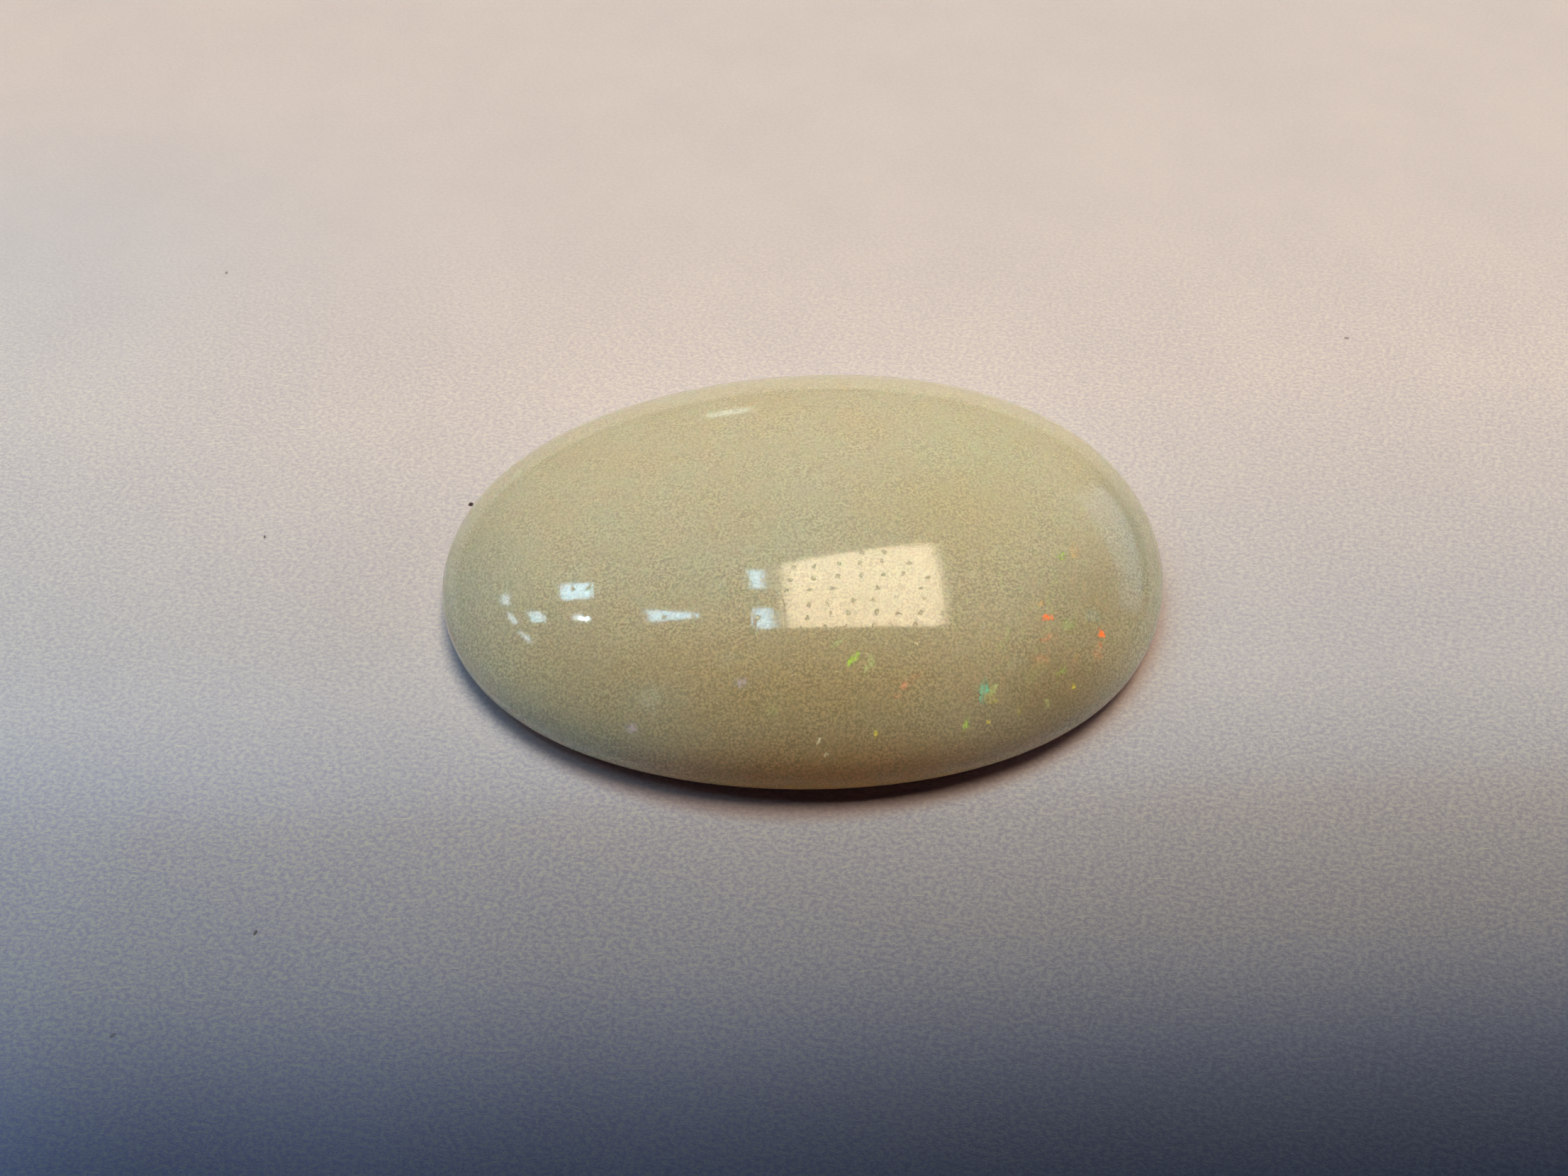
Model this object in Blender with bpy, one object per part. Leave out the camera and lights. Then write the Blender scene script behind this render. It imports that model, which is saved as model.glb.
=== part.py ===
"""Oval opal cabochon: one polished stone with a domed face, a thin rounded girdle and a flat ground back.

Run it with blender --background --python part.py, or from Blender's text editor. Lengths are in metres and
+Z is up. The stone lies on its flat back at Z = 0, centred on the origin, with its length along X.
"""

import math

import bmesh
import bpy

MM = 0.001

# Plan of the girdle: an oval that is a little fuller than an ellipse at its corners and wider at its +X end
LENGTH = 30.0 * MM
WIDTH = 20.0 * MM
CORNER_FULLNESS = 0.0234
END_TAPER = 0.05

# Heights above the flat back
BEVEL_HEIGHT = 0.8 * MM
GIRDLE_HEIGHT = 0.4 * MM
DOME_HEIGHT = 4.4 * MM

# The bevel round the back runs in at 45 degrees, and the girdle's lower edge is rounded into it
BEVEL_INSET = BEVEL_HEIGHT
EDGE_RADIUS = 0.3 * MM
BEVEL_ANGLE = math.radians(45.0)

# Facets of the solid
SEGMENTS = 96
DOME_RINGS = 18
EDGE_RINGS = 3

# Finish
OPAL_COLOUR = (0.41, 0.365, 0.225, 1.0)
OPAL_ROUGHNESS = 0.12
SMOOTH_BELOW = math.radians(25.0)


def clear_scene() -> None:
    """Remove every object that the file starts with."""
    for obj in list(bpy.data.objects):
        bpy.data.objects.remove(obj, do_unlink=True)


def plan_point(x: float, y: float, inset: float) -> tuple[float, float]:
    """Map a point of the unit disc to the stone's plan.

    Args:
        x: Along the length, from -1 to 1.
        y: Along the width, from -1 to 1.
        inset: Distance that the plan is drawn in from the girdle, in metres.

    Returns:
        The plan position in metres. The disc's rim lands on the girdle where inset is 0.
    """
    fuller = 1.0 + 4.0 * CORNER_FULLNESS * (x * y) ** 2
    tapered = 1.0 + END_TAPER * x
    half_length = 0.5 * LENGTH - inset
    half_width = 0.5 * WIDTH - inset
    return half_length * x * fuller, half_width * y * fuller * tapered


def dome_rings() -> list[tuple[float, float, float]]:
    """List the dome's rings from just below its top down to the girdle.

    Returns:
        For each ring, its share of the full plan, its inset and its height.
    """
    foot = BEVEL_HEIGHT + GIRDLE_HEIGHT
    steps = [0.5 * math.pi * step / DOME_RINGS for step in range(1, DOME_RINGS + 1)]
    return [(math.sin(angle), 0.0, foot + DOME_HEIGHT * math.cos(angle)) for angle in steps]


def edge_rings() -> list[tuple[float, float, float]]:
    """List the rings below the dome: the girdle's rounded lower edge and the rim of the flat back.

    Returns:
        For each ring, its share of the full plan, its inset and its height.
    """
    arc_centre = BEVEL_HEIGHT + EDGE_RADIUS * math.tan(0.5 * BEVEL_ANGLE)
    turns = [BEVEL_ANGLE * step / EDGE_RINGS for step in range(EDGE_RINGS + 1)]
    rounded = [
        (1.0, EDGE_RADIUS * (1.0 - math.cos(turn)), arc_centre - EDGE_RADIUS * math.sin(turn))
        for turn in turns
    ]
    return rounded + [(1.0, BEVEL_INSET, 0.0)]


def add_ring(mesh: bmesh.types.BMesh, share: float, inset: float, height: float) -> list:
    """Add one closed ring of vertices, counter-clockwise seen from above.

    Args:
        mesh: The mesh that takes the ring.
        share: The ring's share of the full plan, 1 at the girdle.
        inset: Distance that the ring is drawn in, in metres.
        height: Height above the flat back, in metres.

    Returns:
        The ring's vertices in order.
    """
    ring = []
    for step in range(SEGMENTS):
        angle = 2.0 * math.pi * step / SEGMENTS
        x, y = plan_point(share * math.cos(angle), share * math.sin(angle), inset)
        ring.append(mesh.verts.new((x, y, height)))
    return ring


def build_stone_mesh() -> bpy.types.Mesh:
    """Loft the whole stone through its rings and close it at the top and the back.

    Returns:
        The closed mesh, with its faces pointing out.
    """
    mesh = bmesh.new()
    apex = mesh.verts.new((0.0, 0.0, BEVEL_HEIGHT + GIRDLE_HEIGHT + DOME_HEIGHT))
    rings = [add_ring(mesh, *ring) for ring in dome_rings() + edge_rings()]
    for step in range(SEGMENTS):
        after = (step + 1) % SEGMENTS
        mesh.faces.new((apex, rings[0][step], rings[0][after]))
        for upper, lower in zip(rings, rings[1:]):
            mesh.faces.new((upper[step], lower[step], lower[after], upper[after]))
    mesh.faces.new(list(reversed(rings[-1])))
    bmesh.ops.recalc_face_normals(mesh, faces=mesh.faces)
    stone = bpy.data.meshes.new("opal_cabochon")
    mesh.to_mesh(stone)
    mesh.free()
    stone.shade_smooth()
    stone.set_sharp_from_angle(angle=SMOOTH_BELOW)
    return stone


def opal_material() -> bpy.types.Material:
    """Make the milky, sage-cream body of the opal with its gloss polish.

    Returns:
        The material, a plain Principled BSDF.
    """
    material = bpy.data.materials.new("milky_opal")
    material.use_nodes = True
    shader = material.node_tree.nodes["Principled BSDF"]
    shader.inputs["Base Color"].default_value = OPAL_COLOUR
    shader.inputs["Roughness"].default_value = OPAL_ROUGHNESS
    shader.inputs["Metallic"].default_value = 0.0
    return material


def main() -> None:
    """Build the stone as one named object."""
    clear_scene()
    stone = bpy.data.objects.new("opal_cabochon", build_stone_mesh())
    stone.data.materials.append(opal_material())
    bpy.context.scene.collection.objects.link(stone)


main()
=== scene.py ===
"""Looks of the oval opal cabochon: its milky polished body with painted shade along its near side, its flecks
of fire as painted glow, the paper with painted light and shade, and the light.

Blender takes metres. Sizes on the stone are written in millimetres in its own frame, with the length along X.
The lamps are flat panes on a ceiling, placed by how far they lie from the point above the stone.
"""

import logging
import math
from dataclasses import dataclass, field
from enum import Enum
from typing import Any

import bpy
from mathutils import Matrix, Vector


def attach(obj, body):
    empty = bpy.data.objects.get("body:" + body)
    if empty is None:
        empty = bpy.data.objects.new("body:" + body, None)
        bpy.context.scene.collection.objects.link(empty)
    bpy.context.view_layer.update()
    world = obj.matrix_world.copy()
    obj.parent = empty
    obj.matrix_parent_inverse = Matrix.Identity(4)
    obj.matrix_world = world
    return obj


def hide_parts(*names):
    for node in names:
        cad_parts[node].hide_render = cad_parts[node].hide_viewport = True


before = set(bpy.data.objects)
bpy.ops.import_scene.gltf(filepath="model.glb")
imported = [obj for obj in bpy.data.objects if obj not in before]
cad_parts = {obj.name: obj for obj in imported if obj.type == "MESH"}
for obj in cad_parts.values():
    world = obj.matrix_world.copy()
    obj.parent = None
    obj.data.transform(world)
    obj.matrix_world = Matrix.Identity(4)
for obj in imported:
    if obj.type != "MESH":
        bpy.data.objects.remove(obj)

LOG = logging.getLogger("opal")
MM = 0.001
CAD_NODE = "opal_cabochon"
BODY = "root"

Colour = tuple[float, float, float]
Point = tuple[float, float]


class Signal:
    """A number that varies over a surface: one node output that takes part in Python's arithmetic."""

    def __init__(self, graph: "Graph", socket: bpy.types.NodeSocket) -> None:
        """Keep the tree and the output socket that the number comes from."""
        self.graph = graph
        self.socket = socket

    def __add__(self, other: "Signal | float") -> "Signal":
        """Add a number or another signal."""
        return self.graph.math("ADD", self, other)

    def __radd__(self, other: float) -> "Signal":
        """Add to a number on the left."""
        return self.graph.math("ADD", other, self)

    def __sub__(self, other: "Signal | float") -> "Signal":
        """Take away a number or another signal."""
        return self.graph.math("SUBTRACT", self, other)

    def __rsub__(self, other: float) -> "Signal":
        """Take this signal away from a number, so that 1 - mask works."""
        return self.graph.math("SUBTRACT", other, self)

    def __mul__(self, other: "Signal | float") -> "Signal":
        """Multiply by a number or another signal."""
        return self.graph.math("MULTIPLY", self, other)

    def __rmul__(self, other: float) -> "Signal":
        """Multiply a number on the left."""
        return self.graph.math("MULTIPLY", other, self)

    def __truediv__(self, other: "Signal | float") -> "Signal":
        """Divide by a number or another signal."""
        return self.graph.math("DIVIDE", self, other)

    def __rtruediv__(self, other: float) -> "Signal":
        """Divide a number on the left by this signal."""
        return self.graph.math("DIVIDE", other, self)

    def between(self, low: float, high: float) -> "Signal":
        """Ease from 0 to 1 as the signal goes from low to high.

        Args:
            low: Where the result leaves 0. It may be the larger of the two, which turns the ease round.
            high: Where the result reaches 1.

        Returns:
            The eased signal, held between 0 and 1.
        """
        rising = low < high
        node = self.graph.add(
            "ShaderNodeMapRange",
            {"interpolation_type": "SMOOTHSTEP"},
            {
                "Value": self,
                "From Min": min(low, high),
                "From Max": max(low, high),
                "To Min": 0.0 if rising else 1.0,
                "To Max": 1.0 if rising else 0.0,
            },
        )
        return Signal(self.graph, node.outputs["Result"])


class Graph:
    """A node tree with one way to add a node, and short forms for the few that are used often."""

    def __init__(self, tree: bpy.types.NodeTree) -> None:
        """Take over a tree and empty it."""
        self.tree = tree
        tree.nodes.clear()

    def add(
        self, kind: str, settings: dict[str, Any] | None = None, sockets: dict[Any, Any] | None = None
    ) -> bpy.types.Node:
        """Add one node.

        Args:
            kind: The node's type.
            settings: Its own settings, which are set first.
            sockets: A value or a link for each input socket, by name or number.

        Returns:
            The new node.
        """
        node = self.tree.nodes.new(kind)
        for name, value in (settings or {}).items():
            setattr(node, name, value)
        for key, value in (sockets or {}).items():
            self.feed(node.inputs[key], value)
        return node

    def feed(self, socket: bpy.types.NodeSocket, value: Any) -> None:
        """Give an input socket its value or its link.

        Args:
            socket: The input.
            value: A signal, an output socket, a number, a vector or a colour.
        """
        if isinstance(value, Signal):
            value = value.socket
        if isinstance(value, bpy.types.NodeSocket):
            self.tree.links.new(value, socket)
        elif socket.type == "RGBA":
            socket.default_value = (*value, 1.0)
        else:
            socket.default_value = value

    def math(self, operation: str, *values: "Signal | float") -> Signal:
        """Work out one sum on signals and numbers.

        Args:
            operation: The Math node's operation.
            values: Its operands in order.

        Returns:
            The result.
        """
        node = self.add("ShaderNodeMath", {"operation": operation}, dict(enumerate(values)))
        return Signal(self, node.outputs[0])

    def vector(self, operation: str, first: Any, second: Any) -> bpy.types.NodeSocket:
        """Combine two vectors.

        Args:
            operation: The Vector Math node's operation.
            first: A vector or its output socket.
            second: A vector, its output socket, or the number that SCALE takes.

        Returns:
            The vector that results.
        """
        second_key = "Scale" if operation == "SCALE" else 1
        node = self.add("ShaderNodeVectorMath", {"operation": operation}, {0: first, second_key: second})
        return node.outputs["Vector"]

    def length(self, vector: bpy.types.NodeSocket) -> Signal:
        """Give a vector's length."""
        node = self.add("ShaderNodeVectorMath", {"operation": "LENGTH"}, {0: vector})
        return Signal(self, node.outputs["Value"])

    def blend(
        self, share: "Signal | float", first: Any, second: Any, way: str = "MIX"
    ) -> bpy.types.NodeSocket:
        """Mix two colours.

        Args:
            share: How much of the second colour, from 0 to 1.
            first: A colour or its output socket.
            second: A colour or its output socket.
            way: The Mix node's blend type.

        Returns:
            The mixed colour.
        """
        node = self.add(
            "ShaderNodeMix",
            {"data_type": "RGBA", "blend_type": way, "clamp_result": False},
            {0: share, 6: first, 7: second},
        )
        return node.outputs[2]

    def noise(self, place: Any, scale: float, detail: float = 2.0, roughness: float = 0.5) -> Signal:
        """Read a cloudy noise.

        Args:
            place: The coordinates.
            scale: Cells for each unit of the coordinates.
            detail: How many finer octaves are added.
            roughness: How strong the finer octaves are.

        Returns:
            The noise, which stays about 0.5.
        """
        sockets = {"Vector": place, "Scale": scale, "Detail": detail, "Roughness": roughness}
        node = self.add("ShaderNodeTexNoise", {"noise_dimensions": "3D"}, sockets)
        return Signal(self, node.outputs["Fac"])

    def stretched(self, place: Any, factors: tuple[float, float, float], turn: float = 0.0) -> Any:
        """Scale coordinates by a factor on each axis, after a turn about Z.

        Args:
            place: The coordinates.
            factors: The factor on X, Y and Z.
            turn: The turn about Z, in degrees.

        Returns:
            The new coordinates.
        """
        node = self.add(
            "ShaderNodeMapping",
            {"vector_type": "POINT"},
            {"Vector": place, "Rotation": (0.0, 0.0, math.radians(turn)), "Scale": factors},
        )
        return node.outputs["Vector"]

    def around(self, place: Any, centre: Vector, reach: tuple[float, float, float], turn: float) -> Signal:
        """Measure how far a place is from the middle of an ellipsoid.

        Args:
            place: The coordinates.
            centre: The ellipsoid's middle.
            reach: Its half sizes.
            turn: Its turn about Z, in degrees.

        Returns:
            0 in the middle, 1 on the ellipsoid's surface.
        """
        node = self.add(
            "ShaderNodeMapping",
            {"vector_type": "TEXTURE"},
            {
                "Vector": place,
                "Location": tuple(centre),
                "Rotation": (0.0, 0.0, math.radians(turn)),
                "Scale": reach,
            },
        )
        return self.length(node.outputs["Vector"])


@dataclass(frozen=True)
class Cloud:
    """A cloudy noise, and the part of its range over which it eases from 0 to 1."""

    scale: float
    detail: float
    roughness: float
    low: float
    high: float

    def read(self, graph: Graph, place: Any) -> Signal:
        """Read the eased noise at a place."""
        return graph.noise(place, self.scale, self.detail, self.roughness).between(self.low, self.high)


@dataclass(frozen=True)
class StoneForm:
    """The cut of the stone, in millimetres: an oval plan, a dome, a girdle and a bevelled flat back."""

    half_length: float = 15.0
    half_width: float = 10.0
    corner_fullness: float = 0.0234
    end_taper: float = 0.05
    bevel_height: float = 0.8
    girdle_height: float = 0.4
    dome_height: float = 4.4
    edge_radius: float = 0.3
    back_radius: float = 0.15

    @property
    def foot(self) -> float:
        """Height at which the dome meets the girdle."""
        return self.bevel_height + self.girdle_height

    def plan(self, x: float, y: float, inset: float = 0.0) -> Point:
        """Map a point of the unit disc to the plan.

        Args:
            x: Along the length, from -1 to 1.
            y: Along the width, from -1 to 1.
            inset: How far the plan is drawn in from the girdle.

        Returns:
            The place in the plan.
        """
        fuller = 1.0 + 4.0 * self.corner_fullness * (x * y) ** 2
        tapered = 1.0 + self.end_taper * x
        return (self.half_length - inset) * x * fuller, (self.half_width - inset) * y * fuller * tapered

    def on_dome(self, x: float, y: float) -> Vector:
        """Find the point of the dome over a place in the plan.

        Args:
            x: Along the length, in millimetres.
            y: Along the width, in millimetres.

        Returns:
            The point, with its height.
        """
        across = self.half_width * (1.0 + self.end_taper * x / self.half_length)
        share = min(1.0, (x / self.half_length) ** 2 + (y / across) ** 2)
        return Vector((x, y, self.foot + self.dome_height * math.sqrt(1.0 - share)))

    def profile(self, dome_rings: int, arc_rings: int, back_rings: int) -> list[tuple[float, float, float]]:
        """List the rings from just under the top, round the girdle, to the middle of the back.

        Args:
            dome_rings: Rings on the dome.
            arc_rings: Rings on each of the two rounded edges.
            back_rings: Rings on the flat back.

        Returns:
            For each ring, its share of the full plan, its inset and its height.
        """
        quarter, bevel = math.radians(90.0), math.radians(45.0)
        tangent = math.tan(0.5 * bevel)
        dome = [quarter * step / dome_rings for step in range(1, dome_rings + 1)]
        rings = [(math.sin(turn), 0.0, self.foot + self.dome_height * math.cos(turn)) for turn in dome]
        edge_centre = self.bevel_height + self.edge_radius * tangent
        rings += [(1.0, 0.0, 0.5 * (self.foot + edge_centre))]
        for step in range(arc_rings + 1):
            turn = bevel * step / arc_rings
            inset = self.edge_radius * (1.0 - math.cos(turn))
            rings.append((1.0, inset, edge_centre - self.edge_radius * math.sin(turn)))
        back_inset = self.bevel_height + self.back_radius * tangent
        for step in range(arc_rings + 1):
            turn = bevel * (1.0 + step / arc_rings)
            inset = back_inset - self.back_radius * math.cos(turn)
            rings.append((1.0, inset, self.back_radius * (1.0 - math.sin(turn))))
        rings += [(1.0 - step / back_rings, back_inset, 0.0) for step in range(1, back_rings)]
        return rings


class GlowHue(Enum):
    """The colours of the flecks' painted glow, as linear light."""

    LIME = (0.40, 0.66, 0.04)
    PALE_LIME = (0.42, 0.52, 0.16)
    TEAL = (0.10, 0.52, 0.30)
    EMBER = (1.10, 0.19, 0.03)
    CORAL = (0.60, 0.23, 0.10)
    AMBER = (0.66, 0.36, 0.10)
    GOLD = (0.60, 0.48, 0.04)
    PALE = (0.66, 0.60, 0.36)
    MOSS = (0.26, 0.34, 0.10)
    SLATE = (0.22, 0.27, 0.22)
    LAVENDER = (0.34, 0.28, 0.34)
    MIST = (0.36, 0.42, 0.30)


@dataclass(frozen=True)
class Fleck:
    """One fleck of fire: a small patch of painted glow in one colour, standing in for the light that the opal
    sends back.
    """

    hue: GlowHue
    at: Point
    half_size: Point
    turn: float = 0.0
    strength: float = 1.0


@dataclass(frozen=True)
class Zone:
    """A broad soft patch of the body where its milk has another tint."""

    tint: Colour
    at: Point
    half_size: Point
    turn: float = 0.0
    strength: float = 0.5


FLECKS = (
    Fleck(GlowHue.PALE_LIME, (0.86, -5.92), (0.42, 0.10), 32.0, 0.55),
    Fleck(GlowHue.LIME, (1.34, -6.54), (0.40, 0.14), 50.0, 0.85),
    Fleck(GlowHue.PALE_LIME, (1.93, -6.73), (0.38, 0.16), 57.0, 0.6),
    Fleck(GlowHue.CORAL, (3.18, -7.47), (0.20, 0.16), 39.0, 0.75),
    Fleck(GlowHue.CORAL, (2.92, -7.82), (0.14, 0.07), 16.0, 0.9),
    Fleck(GlowHue.CORAL, (3.60, -7.20), (0.45, 0.16), 30.0, 0.25),
    Fleck(GlowHue.EMBER, (8.97, -4.88), (0.26, 0.16), 22.0, 1.0),
    Fleck(GlowHue.EMBER, (11.12, -5.21), (0.22, 0.16), 89.0, 1.0),
    Fleck(GlowHue.EMBER, (11.02, -5.62), (0.14, 0.10), 60.0, 0.5),
    Fleck(GlowHue.AMBER, (8.69, -4.36), (0.22, 0.10), 9.0, 0.7),
    Fleck(GlowHue.CORAL, (8.82, -5.66), (0.34, 0.15), 34.0, 0.6),
    Fleck(GlowHue.CORAL, (8.54, -6.42), (0.32, 0.24), 5.0, 0.4),
    Fleck(GlowHue.CORAL, (10.84, -5.94), (0.32, 0.26), 98.0, 0.35),
    Fleck(GlowHue.MOSS, (9.70, -5.07), (0.36, 0.26), 6.0, 0.5),
    Fleck(GlowHue.SLATE, (10.83, -4.59), (0.42, 0.28), 0.0, 0.4),
    Fleck(GlowHue.TEAL, (6.15, -7.60), (0.44, 0.17), 78.0, 0.95),
    Fleck(GlowHue.PALE_LIME, (6.54, -7.52), (0.34, 0.13), 40.0, 0.7),
    Fleck(GlowHue.GOLD, (6.47, -7.89), (0.26, 0.18), 3.0, 0.25),
    Fleck(GlowHue.LIME, (5.43, -8.63), (0.28, 0.11), 63.0, 0.45),
    Fleck(GlowHue.GOLD, (2.01, -8.93), (0.13, 0.09), 88.0, 0.7),
    Fleck(GlowHue.GOLD, (9.77, -7.17), (0.14, 0.10), 102.0, 0.9),
    Fleck(GlowHue.PALE_LIME, (8.64, -7.80), (0.20, 0.10), 75.0, 0.4),
    Fleck(GlowHue.GOLD, (6.27, -8.54), (0.10, 0.08), 0.0, 0.5),
    Fleck(GlowHue.LIME, (9.90, -2.29), (0.22, 0.12), 21.0, 0.9),
    Fleck(GlowHue.GOLD, (10.41, -2.22), (0.14, 0.11), 80.0, 0.8),
    Fleck(GlowHue.AMBER, (10.50, -1.95), (0.42, 0.24), 71.0, 0.35),
    Fleck(GlowHue.MOSS, (8.20, -6.90), (0.60, 0.30), 40.0, 0.2),
    Fleck(GlowHue.PALE, (11.06, 2.32), (0.18, 0.18), 0.0, 0.6),
    Fleck(GlowHue.PALE, (10.24, 2.84), (0.16, 0.14), 0.0, 0.5),
    Fleck(GlowHue.LAVENDER, (-6.90, -8.03), (0.30, 0.18), -9.0, 0.6),
    Fleck(GlowHue.LAVENDER, (-2.83, -7.08), (0.28, 0.18), -5.0, 0.5),
    Fleck(GlowHue.MIST, (-6.15, -7.20), (0.50, 0.42), -7.0, 0.22),
    Fleck(GlowHue.MIST, (-3.15, -6.28), (0.45, 0.22), 10.0, 0.18),
    Fleck(GlowHue.PALE_LIME, (-1.68, -8.10), (0.34, 0.16), 30.0, 0.16),
    Fleck(GlowHue.MIST, (7.40, -6.60), (0.60, 0.20), 42.0, 0.2),
    Fleck(GlowHue.CORAL, (9.90, -6.20), (0.40, 0.12), 40.0, 0.22),
    Fleck(GlowHue.LIME, (9.30, -6.75), (0.26, 0.09), 48.0, 0.30),
    Fleck(GlowHue.GOLD, (7.50, -8.10), (0.22, 0.08), 44.0, 0.35),
    Fleck(GlowHue.PALE, (0.20, -9.44), (0.10, 0.07), 48.0, 0.6),
    Fleck(GlowHue.PALE, (-0.05, -9.05), (0.09, 0.07), 21.0, 0.6),
)

ZONES = (
    # Painted shade: the near half of the dome darker and warmer, where it faces away from the lamps.
    Zone((0.76, 0.64, 0.38), (0.0, -7.9), (17.0, 7.8), 0.0, 1.0),
    Zone((0.60, 0.52, 0.32), (11.2, -4.3), (6.2, 4.8), 30.0, 0.65),
    Zone((0.56, 0.43, 0.24), (9.0, -7.4), (4.8, 3.2), 18.0, 0.7),
    Zone((0.62, 0.56, 0.37), (-9.5, -5.6), (6.5, 3.8), -25.0, 0.4),
    Zone((0.82, 0.70, 0.40), (6.0, -0.9), (6.6, 4.4), 2.0, 0.42),
    Zone((0.74, 0.81, 0.58), (7.6, 3.0), (5.0, 3.4), 18.0, 0.4),
    Zone((0.58, 0.62, 0.52), (13.8, -0.5), (2.6, 6.8), 10.0, 0.75),
    Zone((0.64, 0.68, 0.58), (-13.2, -1.5), (3.2, 5.4), 0.0, 0.6),
    Zone((0.70, 0.76, 0.64), (-6.1, -7.3), (2.4, 1.3), -7.0, 0.3),
    # Painted shade with painted warm light through the stone: a browner near rim.
    Zone((0.90, 0.48, 0.12), (0.0, -10.2), (14.0, 3.1), 0.0, 0.95),
)


@dataclass(frozen=True)
class OpalFinish:
    """Milky opal: light runs about inside it, its face is polished and its back is ground. Its colour carries
    painted shade along the near side and at the girdle, and its flecks are painted glow.
    """

    milk: Colour = (0.79, 0.80, 0.63)
    warm_milk: Colour = (0.82, 0.75, 0.55)
    clouds: Cloud = Cloud(0.28, 3.0, 0.55, 0.35, 0.7)
    cloud_share: float = 0.45
    zone_depth: float = 3.0
    skin_share: float = 0.42
    skin_tone: Colour = (0.86, 0.86, 0.84)
    # Painted shade at the girdle and bevel, brown and strongest on the near side, with painted warm light
    # through the stone.
    edge_shade_tone: Colour = (0.46, 0.22, 0.10)
    edge_shade_top: tuple[float, float] = (1.1, 0.6)
    edge_shade_bottom: tuple[float, float] = (0.02, 0.3)
    edge_shade_front: tuple[float, float] = (5.0, -5.0)
    edge_shade_rear_share: float = 0.25
    grain: Cloud = Cloud(10.0, 2.0, 0.7, 0.36, 0.64)
    grain_patches: Cloud = Cloud(0.9, 2.0, 0.5, 0.3, 0.7)
    grain_dark: Colour = (0.30, 0.26, 0.18)
    grain_light: Colour = (1.62, 1.62, 1.58)
    grain_share: float = 0.36
    grain_patch_share: float = 0.35
    grain_front: tuple[float, float] = (2.0, -5.0)
    grain_front_share: float = 0.2
    veins: Cloud = Cloud(1.0, 3.0, 0.6, 0.52, 0.7)
    vein_stretch: tuple[float, float, float] = (4.5, 1.3, 3.0)
    vein_turn: float = -48.0
    vein_hues: Cloud = Cloud(0.9, 1.0, 0.5, 0.45, 0.55)
    rosy_vein: Colour = (1.30, 0.80, 0.52)
    lime_vein: Colour = (0.78, 1.10, 0.42)
    vein_middle: Point = (8.6, -5.4)
    vein_reach: tuple[float, float, float] = (6.0, 3.8, 4.0)
    vein_area_turn: float = 20.0
    vein_share: float = 0.5
    fire_base: Colour = (0.03, 0.03, 0.03)
    fire_edge: tuple[float, float] = (1.5, 0.35)
    fire_depth: float = 0.5
    fire_wander_scale: float = 6.0
    fire_wander: float = 0.45
    streaks: Cloud = Cloud(1.0, 2.0, 0.6, 0.4, 0.56)
    streak_stretch: tuple[float, float, float] = (11.0, 3.2, 6.0)
    streak_turn: float = -50.0
    streak_share: float = 0.75
    scatter: Colour = (1.0, 0.52, 0.24)
    scatter_depth: float = 2.4 * MM
    refraction: float = 1.45
    polish: float = 0.05
    polish_spread: float = 0.03
    sheen_patches: Cloud = Cloud(1.3, 3.0, 0.6, 0.3, 0.8)
    ground_back: float = 0.42
    swirl_depth: float = 0.0016
    swirl_stretch: tuple[float, float, float] = (6.0, 0.45, 2.0)
    grain_depth: float = 0.0007
    grain_relief_scale: float = 7.0
    grind_depth: float = 0.004
    grind_stretch: tuple[float, float, float] = (0.6, 14.0, 1.0)
    grind_turn: float = 24.0
    pit_depth: float = 0.014
    pit_radius: float = 0.10
    pit_spacing: Point = (0.86, 0.5)
    pit_slant: float = 0.29
    pit_wander_scale: float = 9.0
    pit_wander: float = 0.35
    pit_irregularity: float = 0.4
    pits_kept: tuple[float, float] = (0.1, 0.4)
    scratch_depth: float = 0.002
    scratch_middle: tuple[float, float, float] = (-1.05, -3.1, 5.4)
    scratch_reach: tuple[float, float, float] = (0.75, 0.03, 2.0)

    def make(self, form: StoneForm) -> bpy.types.Material:
        """Build the material.

        Args:
            form: The cut, which places the patches on the dome.

        Returns:
            The material.
        """
        material = bpy.data.materials.new("milky_opal")
        material.use_nodes = True
        graph = Graph(material.node_tree)
        raw = graph.add("ShaderNodeTexCoord").outputs["Object"]
        place = graph.vector("SCALE", raw, 1.0 / MM)
        back = self.back_mask(graph, place)
        body = self.body_colour(graph, place, form)
        glow, lit = self.fire(graph, place, form)
        shared = {
            "Roughness": self.sheen(graph, place, back),
            "IOR": self.refraction,
            "Normal": self.relief(graph, place, back),
        }
        depths = {
            "Base Color": body,
            "Subsurface Weight": 1.0,
            "Subsurface Radius": self.scatter,
            "Subsurface Scale": self.scatter_depth,
        }
        inner = graph.add("ShaderNodeBsdfPrincipled", {"subsurface_method": "RANDOM_WALK"}, shared | depths)
        skin_colour = graph.blend(1.0, self.grained(graph, place, body, form), self.skin_tone, "MULTIPLY")
        share = self.skin_share + lit * (1.0 - self.skin_share)
        face = {
            # Painted glow: the flecks get a near black base and shine by emission, standing in for the light
            # that the opal sends back.
            "Base Color": graph.blend(lit, skin_colour, self.fire_base),
            "Emission Color": graph.vector("SCALE", glow, lit / share),
            "Emission Strength": 1.0,
        }
        outer = graph.add("ShaderNodeBsdfPrincipled", None, shared | face)
        whole = graph.add("ShaderNodeMixShader", None, {0: share, 1: inner.outputs[0], 2: outer.outputs[0]})
        graph.add("ShaderNodeOutputMaterial", None, {"Surface": whole.outputs[0]})
        material.cycles.emission_sampling = "NONE"
        return material

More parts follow.
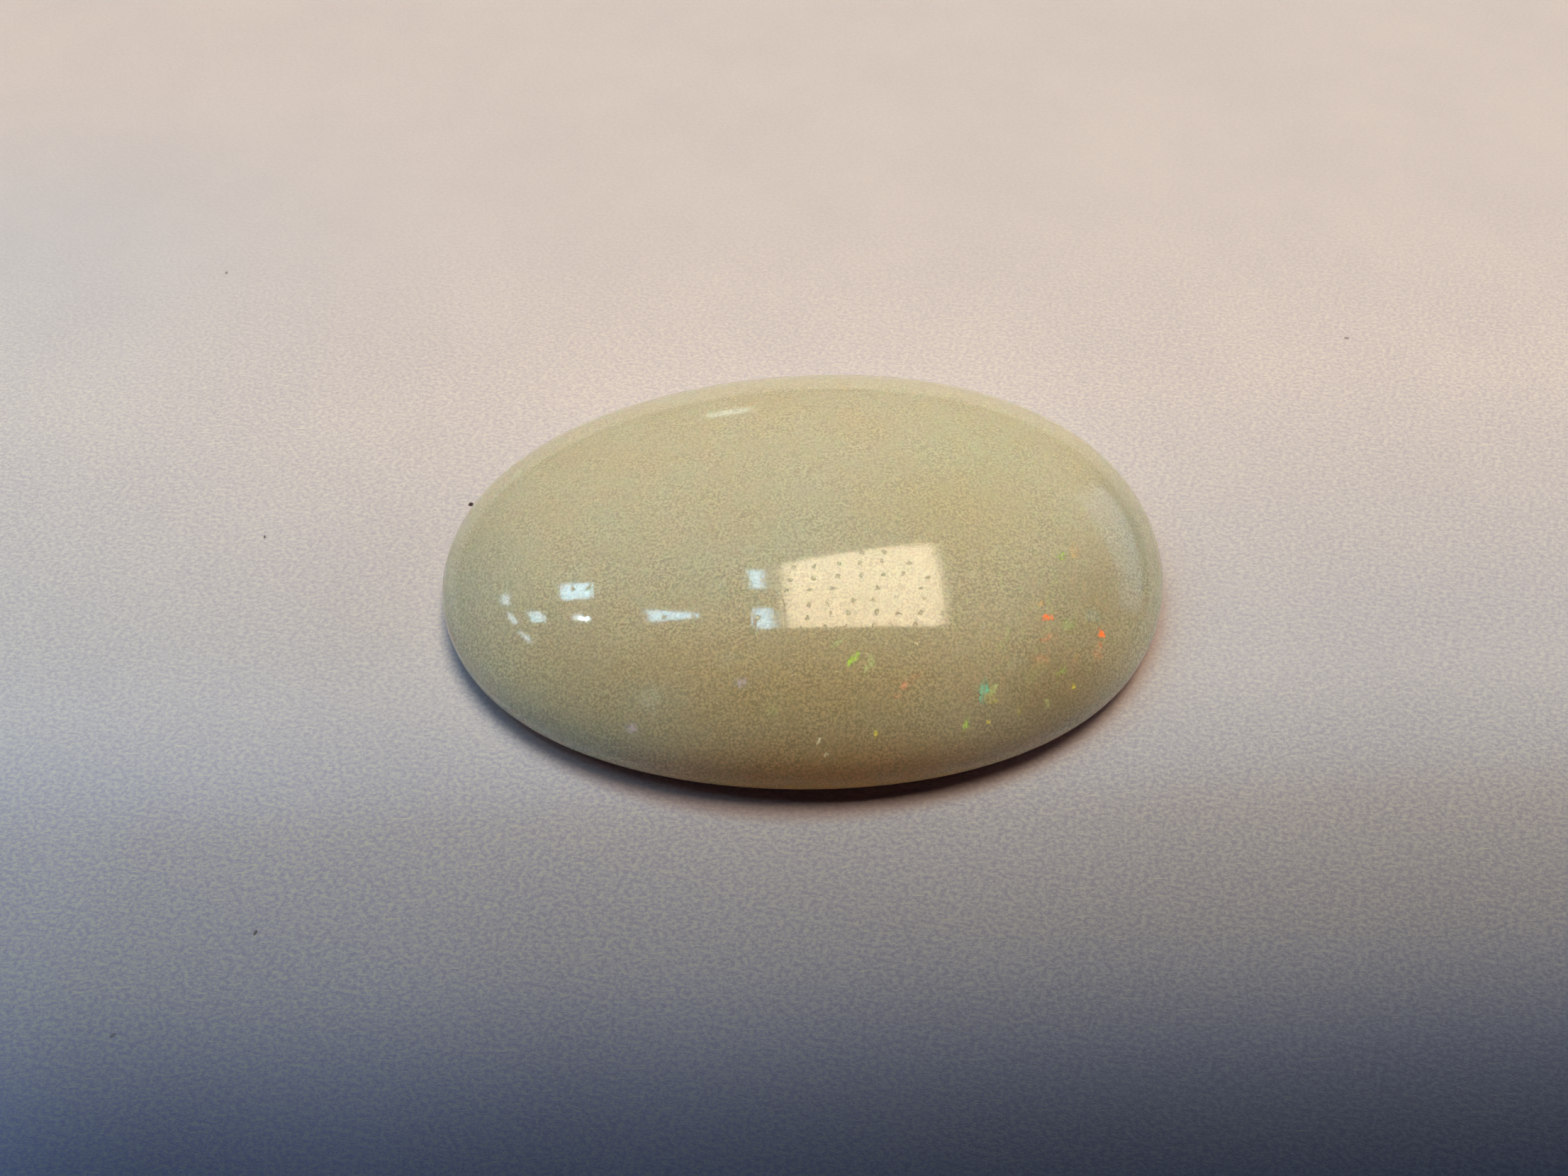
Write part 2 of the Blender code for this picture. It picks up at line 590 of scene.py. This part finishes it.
    def back_mask(self, graph: Graph, place: Any) -> Signal:
        """Find the flat ground back.

        Args:
            graph: The material's tree.
            place: Coordinates in millimetres.

        Returns:
            1 on the back, 0 on the polished rest.
        """
        return self.height(graph, place).between(0.06, 0.02)

    def height(self, graph: Graph, place: Any) -> Signal:
        """Give the height over the paper in millimetres."""
        return Signal(graph, graph.add("ShaderNodeSeparateXYZ", None, {0: place}).outputs["Z"])

    def forward(self, graph: Graph, place: Any) -> Signal:
        """Give the place across the width in millimetres, which falls towards the near side."""
        return Signal(graph, graph.add("ShaderNodeSeparateXYZ", None, {0: place}).outputs["Y"])

    def body_colour(self, graph: Graph, place: Any, form: StoneForm) -> bpy.types.NodeSocket:
        """Lay the milk, its clouds and its broad tints, with painted shade along the near side and at the
        girdle.

        Args:
            graph: The material's tree.
            place: Coordinates in millimetres.
            form: The cut.

        Returns:
            The body's colour.
        """
        clouds = self.clouds.read(graph, place)
        colour = graph.blend(clouds * self.cloud_share, self.milk, self.warm_milk)
        for zone in ZONES:
            reach = (*zone.half_size, self.zone_depth)
            away = graph.around(place, form.on_dome(*zone.at), reach, zone.turn)
            colour = graph.blend(away.between(1.0, 0.0) * zone.strength, colour, zone.tint)
        # Painted shade: a brown band at the girdle and bevel, stronger on the near side.
        height = self.height(graph, place)
        forward = self.forward(graph, place)
        edge_shade_front_weight = forward.between(*self.edge_shade_front) * (1.0 - self.edge_shade_rear_share) + self.edge_shade_rear_share
        edge_shade = height.between(*self.edge_shade_top) * height.between(*self.edge_shade_bottom) * edge_shade_front_weight
        return graph.blend(edge_shade, colour, self.edge_shade_tone)

    def grained(self, graph: Graph, place: Any, colour: Any, form: StoneForm) -> bpy.types.NodeSocket:
        """Add the fine grain just under the polish, and the faint slanting veins beside the fire.

        Args:
            graph: The material's tree.
            place: Coordinates in millimetres.
            colour: The body's colour.
            form: The cut.

        Returns:
            The colour with its grain.
        """
        fine = self.grain.read(graph, place)
        grain = graph.blend(fine, self.grain_dark, self.grain_light)
        nearer = self.forward(graph, place).between(*self.grain_front) * self.grain_front_share
        share = self.grain_patches.read(graph, place) * self.grain_patch_share + nearer + self.grain_share
        colour = graph.blend(share, colour, graph.blend(1.0, colour, grain, "MULTIPLY"))
        middle = form.on_dome(*self.vein_middle)
        near_fire = graph.around(place, middle, self.vein_reach, self.vein_area_turn).between(1.0, 0.3)
        veins = self.veins.read(graph, graph.stretched(place, self.vein_stretch, self.vein_turn))
        vein_colour = graph.blend(self.vein_hues.read(graph, place), self.rosy_vein, self.lime_vein)
        return graph.blend(veins * near_fire * self.vein_share, colour, vein_colour)

    def fire(self, graph: Graph, place: Any, form: StoneForm) -> tuple[bpy.types.NodeSocket, Signal]:
        """Paint the flecks of fire as glow, each with a broken edge.

        Args:
            graph: The material's tree.
            place: Coordinates in millimetres.
            form: The cut.

        Returns:
            The painted glow of the flecks, and where they show.
        """
        wandering = {"Vector": place, "Scale": self.fire_wander_scale, "Detail": 3.0}
        shift = graph.add("ShaderNodeTexNoise", None, wandering)
        centred = graph.vector("SUBTRACT", shift.outputs["Color"], (0.5, 0.5, 0.5))
        ragged = graph.vector("ADD", place, graph.vector("SCALE", centred, self.fire_wander))
        streaks = self.streaks.read(graph, graph.stretched(place, self.streak_stretch, self.streak_turn))
        glow: Any = (0.0, 0.0, 0.0)
        lit: Signal | float = 0.0
        for fleck in FLECKS:
            reach = (*fleck.half_size, self.fire_depth)
            away = graph.around(ragged, form.on_dome(*fleck.at), reach, fleck.turn)
            share = away.between(*self.fire_edge)
            glow = graph.blend(share, glow, fleck.hue.value)
            lit = graph.math("MAXIMUM", share * fleck.strength, lit)
        return glow, lit * (streaks * self.streak_share + (1.0 - self.streak_share))

    def sheen(self, graph: Graph, place: Any, back: Signal) -> Signal:
        """Set the roughness: a wet polish that is a touch uneven, and a duller ground back.

        Args:
            graph: The material's tree.
            place: Coordinates in millimetres.
            back: 1 on the ground back.

        Returns:
            The roughness.
        """
        polished = self.sheen_patches.read(graph, place) * self.polish_spread + self.polish
        return polished * (1.0 - back) + back * self.ground_back

    def relief(self, graph: Graph, place: Any, back: Signal) -> bpy.types.NodeSocket:
        """Press the pits, the polishing swirls and the grinding lines into the surface.

        Args:
            graph: The material's tree.
            place: Coordinates in millimetres.
            back: 1 on the ground back.

        Returns:
            The bumped normal.
        """
        swirls = graph.noise(graph.stretched(place, self.swirl_stretch), 1.0, 2.0, 0.5) * self.swirl_depth
        grain = graph.noise(place, self.grain_relief_scale, 2.0, 0.6) * self.grain_depth
        ground = graph.stretched(place, self.grind_stretch, self.grind_turn)
        grinding = graph.noise(ground, 1.0, 3.0, 0.6) * self.grind_depth
        polished = swirls + grain - self.pits(graph, place) * self.pit_depth - self.scratch(graph, place)
        height = polished * (1.0 - back) + grinding * back
        bump = graph.add("ShaderNodeBump", None, {"Strength": 1.0, "Distance": MM, "Height": height})
        return bump.outputs["Normal"]

    def scratch(self, graph: Graph, place: Any) -> Signal:
        """Draw the hairline scratch left of the middle.

        Args:
            graph: The material's tree.
            place: Coordinates in millimetres.

        Returns:
            The scratch's depth in millimetres.
        """
        away = graph.around(place, Vector(self.scratch_middle), self.scratch_reach, 0.0)
        return away.between(1.0, 0.3) * self.scratch_depth

    def pits(self, graph: Graph, place: Any) -> Signal:
        """Scatter the tiny ragged pits, which lie in slanting rows.

        Args:
            graph: The material's tree.
            place: Coordinates in millimetres.

        Returns:
            1 in the middle of a pit.
        """
        wandering = {"Vector": place, "Scale": self.pit_wander_scale, "Detail": 2.0}
        wander = graph.add("ShaderNodeTexNoise", None, wandering)
        centred = graph.vector("SUBTRACT", wander.outputs["Color"], (0.5, 0.5, 0.5))
        ragged = graph.vector("ADD", place, graph.vector("SCALE", centred, self.pit_wander))
        parts = graph.add("ShaderNodeSeparateXYZ", None, {0: ragged})
        x, y = Signal(graph, parts.outputs["X"]), Signal(graph, parts.outputs["Y"])
        across, along = self.pit_spacing
        row = {"X": (x - y * self.pit_slant) / across, "Y": y / along, "Z": 0.0}
        lattice = graph.add("ShaderNodeCombineXYZ", None, row).outputs["Vector"]
        cells = graph.add(
            "ShaderNodeTexVoronoi",
            {"voronoi_dimensions": "2D", "feature": "F1"},
            {"Vector": lattice, "Scale": 1.0, "Randomness": self.pit_irregularity},
        )
        offset = graph.vector("SUBTRACT", lattice, cells.outputs["Position"])
        reach = graph.length(graph.vector("MULTIPLY", offset, (across, along, 0.0)))
        chosen = graph.add("ShaderNodeSeparateColor", None, {0: cells.outputs["Color"]})
        kept = Signal(graph, chosen.outputs["Red"]).between(*self.pits_kept)
        return reach.between(self.pit_radius, 0.2 * self.pit_radius) * kept


@dataclass
class OpalStone:
    """The polished stone as one fine mesh."""

    form: StoneForm = field(default_factory=StoneForm)
    finish: OpalFinish = field(default_factory=OpalFinish)
    segments: int = 360
    dome_rings: int = 110
    arc_rings: int = 8
    back_rings: int = 14

    def build(self) -> bpy.types.Object:
        """Make the stone, dress it and put it in the solid's place.

        Returns:
            The stone.
        """
        mesh = bpy.data.meshes.new("opal_stone")
        mesh.from_pydata(*self.surface())
        mesh.shade_smooth()
        stone = bpy.data.objects.new("opal_stone", mesh)
        bpy.context.scene.collection.objects.link(stone)
        mesh.materials.append(self.finish.make(self.form))
        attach(stone, BODY)
        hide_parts(CAD_NODE)
        return stone

    def surface(self) -> tuple[list[Vector], list, list[tuple[int, ...]]]:
        """Loft the closed surface through its rings.

        Returns:
            The points in metres, no loose edges, and the faces, which point out.
        """
        rings = self.form.profile(self.dome_rings, self.arc_rings, self.back_rings)
        top = Vector((0.0, 0.0, self.form.foot + self.form.dome_height))
        points = [top * MM]
        turns = [2.0 * math.pi * step / self.segments for step in range(self.segments)]
        for share, inset, height in rings:
            for turn in turns:
                x, y = self.form.plan(share * math.cos(turn), share * math.sin(turn), inset)
                points.append(Vector((x, y, height)) * MM)
        points.append(Vector((0.0, 0.0, 0.0)))
        last = len(points) - 1
        faces: list[tuple[int, ...]] = []
        for step in range(self.segments):
            after = (step + 1) % self.segments
            faces.append((0, 1 + step, 1 + after))
            for ring in range(len(rings) - 1):
                upper, lower = 1 + ring * self.segments, 1 + (ring + 1) * self.segments
                faces.append((upper + step, lower + step, lower + after, upper + after))
            inner = 1 + (len(rings) - 1) * self.segments
            faces.append((inner + step, last, inner + after))
        return points, [], faces


@dataclass(frozen=True)
class Crumb:
    """A tiny dark speck on the paper."""

    at: Point
    half_size: Point
    turn: float = 0.0
    darkness: float = 1.0


CRUMBS = (
    Crumb((-14.6, 5.0), (0.11, 0.11)),
    Crumb((-23.5, 3.7), (0.05, 0.09), 10.0, 0.8),
    Crumb((-20.6, -14.0), (0.06, 0.10), -20.0, 0.7),
    Crumb((27.9, 13.0), (0.12, 0.08), 0.0, 0.6),
    Crumb((-24.8, -17.3), (0.10, 0.06), 25.0, 0.5),
    Crumb((-28.6, 20.9), (0.07, 0.10), 0.0, 0.6),
)


@dataclass(frozen=True)
class PaperFinish:
    """Pale uncoated paper with a fine tooth, which looks smoother at the far side. Its colour carries painted
    light and shade: cooler left and near sides, a darker near edge and a painted shadow at the stone's foot.
    """

    tone: Colour = (0.95, 0.955, 1.0)
    shade: Colour = (0.68, 0.68, 0.83)
    hair_tone: Colour = (1.0, 1.0, 1.0)
    # Painted cool light and shade: the left side of the paper bluer and darker.
    side_light_tint: Colour = (0.84, 0.965, 1.07)
    side_light_from: float = -8.0
    side_light_to: float = -45.0
    side_light_far: float = 42.0
    side_light_near: float = 20.0
    # Painted cool light: the near left of the paper bluer.
    low_cool_light: Colour = (0.93, 1.0, 1.10)
    low_cool_light_across: tuple[float, float] = (22.0, -22.0)
    low_cool_light_away: tuple[float, float] = (0.0, -12.0)
    # Painted shade: the near edge of the paper darker and bluer.
    front_shade_tint: Colour = (0.66, 0.79, 1.05)
    front_shade_away: tuple[float, float] = (-15.0, -22.0)
    smooth_from: float = 9.0
    smooth_to: float = 27.0
    # Painted contact shadow with painted warm light through the stone: a brown ring on the paper around the
    # stone's foot, shifted to the near side.
    foot_shadow_tone: Colour = (0.48, 0.25, 0.16)
    foot_shadow_middle: Point = (0.35, -0.7)
    foot_shadow_reach: Point = (14.3, 9.7)
    crumb_tone: Colour = (0.06, 0.04, 0.05)
    crumb_edge: tuple[float, float] = (1.2, 0.8)
    clouds: Cloud = Cloud(0.12, 4.0, 0.6, 0.3, 0.7)
    cloud_share: float = 0.12
    tooth_stretch: tuple[float, float, float] = (5.0, 7.5, 1.0)
    tooth_turn: float = 20.0
    tooth_edge: tuple[float, float] = (0.35, 0.65)
    tooth_share: float = 0.95
    tooth_mean: float = 0.44
    far_tooth: float = 0.2
    near_tooth: float = 0.4
    near_from: float = -5.0
    near_to: float = -12.0
    hairs: Cloud = Cloud(1.0, 2.0, 0.6, 0.63, 0.74)
    hair_stretch: tuple[float, float, float] = (0.9, 9.0, 1.0)
    hair_turns: tuple[float, float] = (35.0, -52.0)
    hair_share: float = 0.7
    side_light_share: float = 0.8
    foot_shadow_edge: tuple[float, float] = (1.085, 1.0)
    foot_shadow_share: float = 0.6
    roughness: float = 0.9
    tooth_depth: float = 0.05 * MM

    def make(self) -> bpy.types.Material:
        """Build the material.

        Returns:
            The material.
        """
        material = bpy.data.materials.new("pale_paper")
        material.use_nodes = True
        graph = Graph(material.node_tree)
        raw = graph.add("ShaderNodeTexCoord").outputs["Object"]
        place = graph.vector("SCALE", raw, 1.0 / MM)
        tooth = graph.noise(graph.stretched(place, self.tooth_stretch, self.tooth_turn), 1.0, 4.0, 0.8)
        pressed = {"Strength": 1.0, "Distance": self.tooth_depth, "Height": tooth}
        bump = graph.add("ShaderNodeBump", None, pressed)
        shader = graph.add(
            "ShaderNodeBsdfPrincipled",
            None,
            {
                "Base Color": self.colour(graph, place, tooth),
                "Roughness": self.roughness,
                "Normal": bump.outputs["Normal"],
            },
        )
        graph.add("ShaderNodeOutputMaterial", None, {"Surface": shader.outputs["BSDF"]})
        return material

    def colour(self, graph: Graph, place: Any, tooth: Signal) -> bpy.types.NodeSocket:
        """Colour the paper: tooth, pale hairs, painted cool light and shade on the left and near sides, a
        painted shadow at the stone's foot, and crumbs.

        Args:
            graph: The material's tree.
            place: Coordinates in millimetres.
            tooth: The noise of the paper's tooth.

        Returns:
            The colour.
        """
        parts = graph.add("ShaderNodeSeparateXYZ", None, {0: place})
        across, away = Signal(graph, parts.outputs["X"]), Signal(graph, parts.outputs["Y"])
        near = away.between(self.smooth_to, self.smooth_from) * (1.0 - self.far_tooth) + self.far_tooth
        near = near + away.between(self.near_from, self.near_to) * self.near_tooth
        clouds = self.clouds.read(graph, place)
        grit = (tooth.between(*self.tooth_edge) - 0.5) * near * self.tooth_share
        dark = grit + clouds * self.cloud_share + self.tooth_mean
        colour = graph.blend(dark, self.tone, self.shade)
        for turn in self.hair_turns:
            hairs = self.hairs.read(graph, graph.stretched(place, self.hair_stretch, turn))
            colour = graph.blend(hairs * near * self.hair_share, colour, self.hair_tone)
        # Painted cool light and shade on the left side of the paper.
        side = across.between(self.side_light_from, self.side_light_to) * self.side_light_share
        side = side * away.between(self.side_light_far, self.side_light_near)
        colour = graph.blend(side, colour, self.side_light_tint, "MULTIPLY")
        # Painted cool light on the near left of the paper.
        low = across.between(*self.low_cool_light_across) * away.between(*self.low_cool_light_away)
        colour = graph.blend(low, colour, self.low_cool_light, "MULTIPLY")
        # Painted shade towards the near edge of the paper.
        colour = graph.blend(away.between(*self.front_shade_away), colour, self.front_shade_tint, "MULTIPLY")
        # Painted contact shadow and warm light at the stone's foot.
        foot = graph.around(place, Vector((*self.foot_shadow_middle, 0.0)), (*self.foot_shadow_reach, 1.0), 0.0)
        colour = graph.blend(foot.between(*self.foot_shadow_edge) * self.foot_shadow_share, colour, self.foot_shadow_tone)
        for crumb in CRUMBS:
            spot = graph.around(place, Vector((*crumb.at, 0.0)), (*crumb.half_size, 1.0), crumb.turn)
            colour = graph.blend(spot.between(*self.crumb_edge) * crumb.darkness, colour, self.crumb_tone)
        return colour


def flat_sheet(name: str, corners: list[Vector], material: bpy.types.Material) -> bpy.types.Object:
    """Make a flat sheet that isn't part of the stone.

    Args:
        name: The object's name.
        corners: Its corners in order, in metres.
        material: Its finish.

    Returns:
        The sheet.
    """
    mesh = bpy.data.meshes.new(name)
    mesh.from_pydata(corners, [], [tuple(range(len(corners)))])
    mesh.materials.append(material)
    sheet = bpy.data.objects.new(name, mesh)
    bpy.context.scene.collection.objects.link(sheet)
    return sheet


WARM_WHITE = (12.2, 9.9, 6.9)
DEEP_WARM = (6.2, 3.8, 1.9)
BLUE_WHITE = (7.1, 12.8, 16.8)
SOFT_BLUE_WHITE = (6.2, 9.8, 12.2)
DIM_BLUE_WHITE = (5.8, 7.8, 9.8)
STRONG_BLUE_WHITE = (37.0, 46.0, 53.0)
PALE_WALL = (0.80, 1.02, 1.35)
PALE_GAP = (2.2, 2.8, 2.7)


@dataclass(frozen=True)
class Pane:
    """A flat lamp on the ceiling. Its corners are in metres from the point above the stone."""

    name: str
    light: Colour
    corners: tuple[Point, ...]
    softness: float = 0.02
    height: float = 1.6

    def points(self) -> list[Vector]:
        """Give the corners in space."""
        return [Vector((x, y, self.height)) for x, y in self.corners]


@dataclass(frozen=True)
class Wall:
    """A dim glowing stretch of wall, by the directions in which the stone sees it, in degrees."""

    name: str
    light: Colour
    bearing: tuple[float, float]
    lift: tuple[float, float]
    softness: float = 0.1
    distance: float = 1.8

    def points(self) -> list[Vector]:
        """Give the corners in space."""
        return [self.point(turn, rise) for turn, rise in (
            (self.bearing[0], self.lift[0]),
            (self.bearing[1], self.lift[0]),
            (self.bearing[1], self.lift[1]),
            (self.bearing[0], self.lift[1]),
        )]

    def point(self, turn: float, rise: float) -> Vector:
        """Find one corner.

        Args:
            turn: Its bearing from +Y towards +X, in degrees.
            rise: Its height over the paper as an angle, in degrees.

        Returns:
            The corner, in metres.
        """
        bearing = math.radians(turn)
        return self.distance * Vector((math.sin(bearing), math.cos(bearing), math.tan(math.radians(rise))))


LAMPS: tuple[Pane | Wall, ...] = (
    Pane(
        "warm_panel", WARM_WHITE,
        ((-0.022, 0.573), (0.400, 0.724), (0.610, 0.772), (0.634, -0.018), (-0.032, -0.023)), 0.05,
    ),
    Pane(
        "warm_panel_front", DEEP_WARM,
        ((-0.05, -0.025), (0.656, -0.025), (0.656, -0.56), (-0.05, -0.56)),
    ),
    Pane(
        "cool_near_rear", BLUE_WHITE,
        ((-0.149, 0.535), (-0.097, 0.528), (-0.097, 0.366), (-0.146, 0.370)), 0.012,
    ),
    Pane(
        "cool_near_front", BLUE_WHITE,
        ((-0.149, 0.187), (-0.082, 0.192), (-0.074, -0.001), (-0.149, -0.014)), 0.012,
    ),
    Pane(
        "cool_mid_front", BLUE_WHITE,
        ((-0.612, 0.222), (-0.384, 0.170), (-0.398, 0.124), (-0.614, 0.100)),
    ),
    Pane(
        "cool_mid_rear", BLUE_WHITE,
        ((-1.169, 0.624), (-0.909, 0.567), (-0.921, 0.399), (-1.174, 0.429)),
    ),
    Pane(
        "cool_spot", STRONG_BLUE_WHITE,
        ((-1.083, 0.222), (-0.978, 0.191), (-0.992, 0.150), (-1.083, 0.163)), 0.01,
    ),
    Pane(
        "cool_far_front", SOFT_BLUE_WHITE,
        ((-1.658, 0.376), (-1.413, 0.330), (-1.435, 0.164), (-1.634, 0.209)), 0.03,
    ),
    Pane(
        "cool_far_rear", DIM_BLUE_WHITE,
        ((-2.204, 0.804), (-1.952, 0.722), (-1.996, 0.538), (-2.232, 0.604)), 0.03,
    ),
    Pane(
        "cool_end_rear", DIM_BLUE_WHITE,
        ((-2.161, 0.441), (-2.004, 0.410), (-1.891, 0.213), (-2.064, 0.223)), 0.03,
    ),
    Pane(
        "cool_end_front", DIM_BLUE_WHITE,
        ((-2.004, 0.081), (-1.855, 0.070), (-1.778, -0.111), (-1.901, -0.117)), 0.03,
    ),
    Wall("pale_gap", PALE_GAP, (-7.1, -2.4), (12.0, 15.5), 0.03),
    Wall("pale_wall", PALE_WALL, (46.0, 84.0), (8.5, 25.0), 0.15),
)


def spread(corners: list[Vector], margin: float) -> list[Vector]:
    """Push a face's corners out from its middle.

    Args:
        corners: The corners, in metres.
        margin: How far each edge moves out at the least, in metres.

    Returns:
        The new corners.
    """
    middle = sum(corners, Vector()) / len(corners)
    return [corner + (corner - middle).normalized() * 3.0 * margin for corner in corners]


@dataclass(frozen=True)
class LampFinish:
    """A lamp's glowing face, which fades out across its outline."""

    light: Colour
    softness: float

    def make(self, name: str, corners: list[Vector]) -> bpy.types.Material:
        """Build the material.

        Args:
            name: Its name.
            corners: The outline's corners in order, in metres.

        Returns:
            The material.
        """
        material = bpy.data.materials.new(name)
        material.use_nodes = True
        graph = Graph(material.node_tree)
        place = graph.add("ShaderNodeTexCoord").outputs["Object"]
        glow = graph.blend(self.fade(graph, place, corners), (0.0, 0.0, 0.0), self.light)
        shader = graph.add(
            "ShaderNodeBsdfPrincipled",
            None,
            {
                "Base Color": (0.0, 0.0, 0.0),
                "Specular IOR Level": 0.0,
                "Emission Color": glow,
                "Emission Strength": 1.0,
            },
        )
        graph.add("ShaderNodeOutputMaterial", None, {"Surface": shader.outputs["BSDF"]})
        return material

    def fade(self, graph: Graph, place: Any, corners: list[Vector]) -> Signal:
        """Ease the light in across every edge of the outline.

        Args:
            graph: The material's tree.
            place: Coordinates in metres.
            corners: The outline's corners in order.

        Returns:
            1 in the middle of the face, 0 outside the outline.
        """
        middle = sum(corners, Vector()) / len(corners)
        facing = (corners[1] - corners[0]).cross(corners[2] - corners[1])
        share: Signal | float = 1.0
        for start, end in zip(corners, corners[1:] + corners[:1]):
            inward = facing.cross(end - start).normalized()
            if inward.dot(middle - start) < 0.0:
                inward = -inward
            along = graph.add("ShaderNodeVectorMath", {"operation": "DOT_PRODUCT"}, {0: place, 1: inward})
            depth = Signal(graph, along.outputs["Value"]) - inward.dot(start)
            share = depth.between(-0.5 * self.softness, 0.5 * self.softness) * share
        return share


@dataclass
class Studio:
    """The paper, the lamps, the faint light of the air and the dark card that shades the front."""

    paper_half_size: float = 4.0
    paper_gap: float = 0.02 * MM
    air: Colour = (0.0, 0.004, 0.016)
    horizon: Colour = (0.62, 0.60, 0.62)
    horizon_radius: float = 1.1
    horizon_height: float = 1.5
    card_tone: Colour = (0.02, 0.02, 0.022)
    card_front: tuple[Point, Point] = ((-55.0, -4.2), (66.0, -6.2))
    card_depth: float = 60.0
    card_height: float = 45.0
    card_drop: float = 5.3

    def build(self) -> None:
        """Lay the paper, hang the lamps and place the card."""
        half = self.paper_half_size
        plan = ((-half, -half), (half, -half), (half, half), (-half, half))
        paper = [Vector((x, y, -self.paper_gap)) for x, y in plan]
        flat_sheet("paper", paper, PaperFinish().make())
        for lamp in LAMPS:
            corners = lamp.points()
            finish = LampFinish(lamp.light, lamp.softness).make(lamp.name, corners)
            flat_sheet(lamp.name, spread(corners, 0.5 * lamp.softness), finish).visible_camera = False
        self.place_card()
        self.close_horizon()
        self.fill_air()

    def close_horizon(self) -> None:
        """Stand pale screens far off, which only the camera sees, so that low views don't end dark."""
        radius, height = self.horizon_radius, self.horizon_height
        material = bpy.data.materials.new("pale_horizon")
        material.use_nodes = True
        graph = Graph(material.node_tree)
        glow = graph.add("ShaderNodeEmission", None, {"Color": self.horizon, "Strength": 1.0})
        graph.add("ShaderNodeOutputMaterial", None, {"Surface": glow.outputs["Emission"]})
        material.cycles.emission_sampling = "NONE"
        around = [(-radius, -radius), (radius, -radius), (radius, radius), (-radius, radius)]
        for side, (start, end) in enumerate(zip(around, around[1:] + around[:1])):
            low = [Vector((*start, 0.0)), Vector((*end, 0.0))]
            high = [corner + Vector((0.0, 0.0, height)) for corner in reversed(low)]
            screen = flat_sheet(f"pale_horizon_{side}", low + high, material)
            screen.visible_diffuse = screen.visible_glossy = screen.visible_transmission = False
            screen.visible_volume_scatter = screen.visible_shadow = False

    def place_card(self) -> None:
        """Hold a dark card over the near side of the stone, unseen by the camera."""
        material = bpy.data.materials.new("dark_card")
        material.use_nodes = True
        graph = Graph(material.node_tree)
        shader = graph.add("ShaderNodeBsdfDiffuse", None, {"Color": self.card_tone})
        graph.add("ShaderNodeOutputMaterial", None, {"Surface": shader.outputs["BSDF"]})
        front = [Vector((x, y, self.card_height)) for x, y in self.card_front]
        back = [corner - Vector((0.0, self.card_depth, self.card_drop)) for corner in reversed(front)]
        flat_sheet("dark_card", [corner * MM for corner in front + back], material).visible_camera = False

    def fill_air(self) -> None:
        """Give the surroundings a faint light of their own."""
        world = bpy.data.worlds.new("dim_surroundings")
        world.use_nodes = True
        graph = Graph(world.node_tree)
        sky = graph.add("ShaderNodeBackground", None, {"Color": self.air, "Strength": 1.0})
        graph.add("ShaderNodeOutputWorld", None, {"Surface": sky.outputs["Background"]})
        bpy.context.scene.world = world


@dataclass(frozen=True)
class Viewpoint:
    """The camera: close over the stone, looking down on its near side."""

    aim: tuple[float, float, float] = (-0.839 * MM, -0.292 * MM, 0.0)
    elevation: float = 56.58
    swing: float = 3.23
    distance: float = 50.61 * MM
    focal_pixels: float = 1671.0
    frame_pixels: float = 2212.0
    sensor: float = 36.0
    nearest: float = 1.0 * MM
    furthest: float = 10.0

    def build(self) -> bpy.types.Object:
        """Set up the camera.

        Returns:
            The camera.
        """
        lift, swing = math.radians(self.elevation), math.radians(self.swing)
        back = Vector((
            -math.sin(swing) * math.cos(lift),
            -math.cos(swing) * math.cos(lift),
            math.sin(lift),
        ))
        lens = bpy.data.cameras.new("camera")
        lens.sensor_width = self.sensor
        lens.lens = self.focal_pixels / self.frame_pixels * self.sensor
        lens.clip_start, lens.clip_end = self.nearest, self.furthest
        camera = bpy.data.objects.new("camera", lens)
        camera.location = Vector(self.aim) + back * self.distance
        camera.rotation_euler = (-back).to_track_quat("-Z", "Y").to_euler()
        bpy.context.scene.collection.objects.link(camera)
        bpy.context.scene.camera = camera
        bpy.context.view_layer.update()
        return camera


def main() -> None:
    """Build the camera, the studio and the stone, and report each."""
    logging.basicConfig(level=logging.INFO, format="%(name)s: %(message)s")
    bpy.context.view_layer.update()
    bpy.context.scene.view_settings.view_transform = "Standard"
    camera = Viewpoint().build()
    LOG.info("camera %.1f mm from the stone's middle", camera.location.length / MM)
    Studio().build()
    LOG.info("paper, dark card and %d lamps", len(LAMPS))
    stone = OpalStone().build()
    LOG.info("%s: %d faces, %d flecks", stone.name, len(stone.data.polygons), len(FLECKS))


if __name__ == "__main__":
    main()
